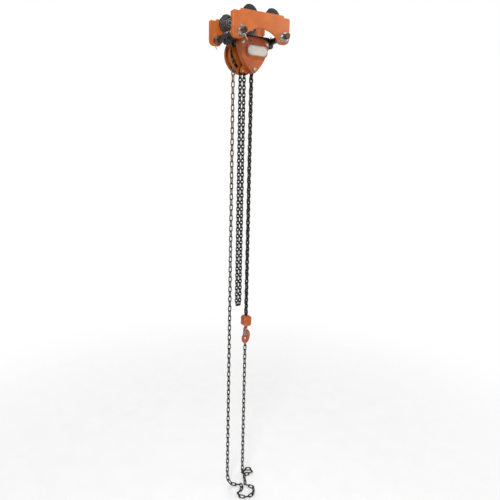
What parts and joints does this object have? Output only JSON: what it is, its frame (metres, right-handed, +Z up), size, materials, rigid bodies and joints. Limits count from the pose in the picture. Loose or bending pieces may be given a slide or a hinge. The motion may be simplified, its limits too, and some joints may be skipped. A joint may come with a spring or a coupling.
{
  "type": "low-headroom chain hoist trolley",
  "caption": "Push trolley with four flanged wheels and a built-in hand chain hoist under it, for an I-beam, with swivel latch hook, load chain and endless hand chain.",
  "frame": {"origin": "centre of the four wheel treads, on the upper face of the beam's lower flange", "axes": "+X along the beam, +Y across it towards the hand wheel, +Z up"},
  "size_m": [0.268, 0.272, 2.2135],
  "materials": {
    "orange_paint": "gloss",
    "hook_paint": "satin",
    "black_paint": "satin",
    "black_cast": "satin",
    "zinc_plate": "satin",
    "dark_steel": "satin",
    "ground_steel": "satin",
    "yellow_zinc": "satin",
    "friction_lining": "matte",
    "plate_silver": "satin",
    "black_chain": "satin",
    "hand_chain_steel": "satin"
  },
  "bodies": {
    "trolley_and_hoist": {"side_plate_front": "orange_paint", "side_plate_rear": "orange_paint", "wheel_axles": "dark_steel", "wheel_bearings": "ground_steel", "wheel_circlips": "zinc_plate", "suspension_shaft_left": "dark_steel", "suspension_shaft_right": "dark_steel", "shaft_nuts": "zinc_plate", "split_pins": "zinc_plate", "adjusting_washers": "zinc_plate", "spacer_tubes": "dark_steel", "hanger_frame": "black_paint", "gear_side_plate": "orange_paint", "wheel_side_plate": "orange_paint", "stay_bolts": "zinc_plate", "stay_spacers": "zinc_plate", "cover_cap_nuts": "zinc_plate", "stay_nuts": "zinc_plate", "gear_cover": "orange_paint", "rating_plate": "plate_silver", "rating_plate_rivets": "zinc_plate", "hand_wheel_cover": "orange_paint", "brake_cover": "black_paint", "brake_cover_screws": "zinc_plate", "guide_rollers": "black_cast", "guide_roller_pins": "dark_steel", "chain_stripper": "ground_steel", "chain_anchor_pin": "yellow_zinc", "sheave_bearings": "ground_steel", "ratchet_disc": "dark_steel", "pawl_pins": "dark_steel", "pawl_springs": "zinc_plate", "load_chain_hook_strand": "black_chain", "load_chain_slack_end": "black_chain", "hand_chain": "hand_chain_steel", "hand_chain_on_floor": "hand_chain_steel"},
    "wheel_front_left": {"track_wheel_front_left": "black_cast"},
    "wheel_front_right": {"track_wheel_front_right": "black_cast"},
    "wheel_rear_left": {"track_wheel_rear_left": "black_cast"},
    "wheel_rear_right": {"track_wheel_rear_right": "black_cast"},
    "drive_shaft": {"pinion_shaft": "ground_steel", "friction_hub": "ground_steel", "friction_discs": "friction_lining", "hand_wheel": "yellow_zinc", "hand_wheel_nut": "zinc_plate"},
    "disc_gear_left": {"disc_gear_left": "ground_steel"},
    "disc_gear_right": {"disc_gear_right": "ground_steel"},
    "sheave": {"load_sheave": "ground_steel", "load_gear": "ground_steel"},
    "pawl_left": {"pawl_left": "dark_steel"},
    "pawl_right": {"pawl_right": "dark_steel"},
    "hook_block": {"hook_block_front": "hook_paint", "hook_block_rear": "hook_paint", "hook_block_bolts": "zinc_plate", "hook_chain_pin": "dark_steel", "hook_thrust_washer": "dark_steel"},
    "hook": {"load_hook": "hook_paint", "hook_latch_pin": "zinc_plate", "hook_latch_spring": "zinc_plate"},
    "latch": {"hook_latch": "zinc_plate"}
  },
  "joints": [
    {"name": "wheel_turn_front_left", "type": "hinge", "parent": "trolley_and_hoist", "child": "wheel_front_left", "pos_m": [-0.0525, -0.0765, 0.026], "axis": [0, 1, 0], "continuous": true},
    {"name": "wheel_turn_front_right", "type": "hinge", "parent": "trolley_and_hoist", "child": "wheel_front_right", "pos_m": [0.0525, -0.0765, 0.026], "axis": [0, 1, 0], "continuous": true},
    {"name": "wheel_turn_rear_left", "type": "hinge", "parent": "trolley_and_hoist", "child": "wheel_rear_left", "pos_m": [-0.0525, 0.0765, 0.026], "axis": [0, 1, 0], "continuous": true},
    {"name": "wheel_turn_rear_right", "type": "hinge", "parent": "trolley_and_hoist", "child": "wheel_rear_right", "pos_m": [0.0525, 0.0765, 0.026], "axis": [0, 1, 0], "continuous": true},
    {"name": "hand_wheel_turn", "type": "hinge", "parent": "trolley_and_hoist", "child": "drive_shaft", "pos_m": [0, 0.0465, -0.098], "axis": [0, 1, 0], "range_deg": [-22680, 19440], "deforming": ["hand_chain"]},
    {"name": "disc_gear_left_turn", "type": "hinge", "parent": "trolley_and_hoist", "child": "disc_gear_left", "pos_m": [-0.03287, -0.0375, -0.09101], "axis": [0, 1, 0], "range_deg": [-6484, 7564]},
    {"name": "disc_gear_right_turn", "type": "hinge", "parent": "trolley_and_hoist", "child": "disc_gear_right", "pos_m": [0.03287, -0.0375, -0.09101], "axis": [0, 1, 0], "range_deg": [-6484, 7564]},
    {"name": "sheave_turn", "type": "hinge", "parent": "trolley_and_hoist", "child": "sheave", "pos_m": [0, 0, -0.098], "axis": [0, 1, 0], "range_deg": [-2522, 2162], "deforming": ["load_chain_slack_end"]},
    {"name": "hook_travel", "type": "slide", "parent": "trolley_and_hoist", "child": "hook_block", "axis": [0, 0, 1], "range_m": [-0.7205, 0.8405], "deforming": ["load_chain_hook_strand"]},
    {"name": "hook_swivel", "type": "hinge", "parent": "hook_block", "child": "hook", "pos_m": [0.0181, 0, -1.2865], "axis": [0, 0, 1], "continuous": true},
    {"name": "latch_open", "type": "hinge", "parent": "hook", "child": "latch", "pos_m": [0.0129, -0.003, -1.3005], "axis": [0.5, -0.866, 0], "range_deg": [0, 30], "stiffness_Nm_per_rad": 0.05, "springref_deg": -34.38},
    {"name": "pawl_right_lift", "type": "hinge", "parent": "trolley_and_hoist", "child": "pawl_right", "pos_m": [0.033, 0.03, -0.122], "axis": [0, 1, 0], "range_deg": [0, 12], "stiffness_Nm_per_rad": 0.02, "springref_deg": -28.65},
    {"name": "pawl_left_lift", "type": "hinge", "parent": "trolley_and_hoist", "child": "pawl_left", "pos_m": [-0.033, 0.03, -0.074], "axis": [0, 1, 0], "range_deg": [0, 12], "stiffness_Nm_per_rad": 0.02, "springref_deg": -28.65}
  ],
  "couplings": [
    {"joint": "disc_gear_left_turn", "follows": "hand_wheel_turn", "ratio": -0.33333},
    {"joint": "disc_gear_right_turn", "follows": "hand_wheel_turn", "ratio": -0.33333},
    {"joint": "sheave_turn", "follows": "hand_wheel_turn", "ratio": 0.11111},
    {"joint": "hook_travel", "follows": "hand_wheel_turn", "m_per_rad": -0.0021221}
  ]
}
